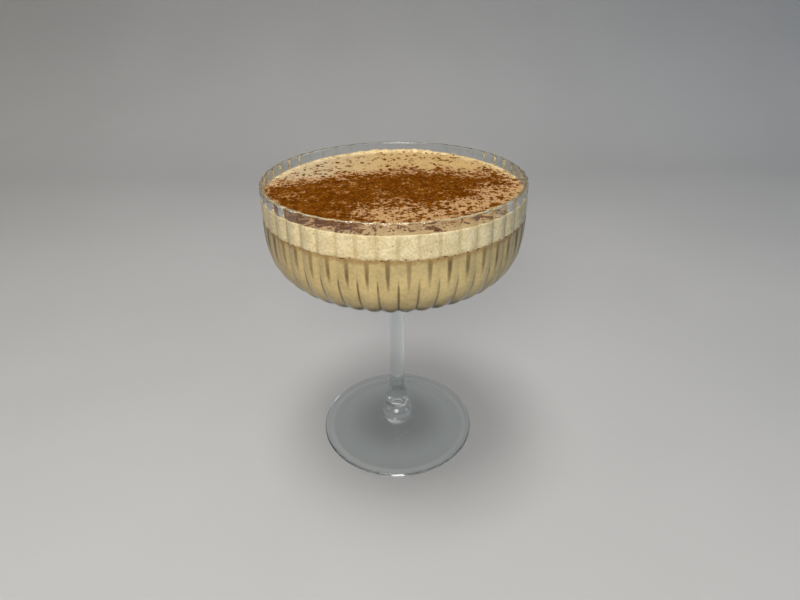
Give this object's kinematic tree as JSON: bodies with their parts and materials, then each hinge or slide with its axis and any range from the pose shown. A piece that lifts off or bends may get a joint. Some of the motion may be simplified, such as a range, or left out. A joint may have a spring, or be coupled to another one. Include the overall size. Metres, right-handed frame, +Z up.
{
  "type": "coffee smoothie",
  "caption": "Creamy coffee drink with a pale foam layer and a dusting of spice, in a ribbed coupe glass with a slim stem and a round foot.",
  "frame": {"origin": "centre of the foot's underside, on the surface that the glass stands on", "axes": "+Z up along the stem, -Y towards the front of the picture"},
  "size_m": [0.1108, 0.1108, 0.1372],
  "materials": {
    "glass": "clear, polished",
    "coffee": "milky coffee, wet",
    "foam": "cream foam with fine bubbles",
    "spice": "dry brown powder"
  },
  "bodies": {
    "root": {"glass": "glass", "coffee": "coffee", "foam": "foam"}
  },
  "joints": []
}
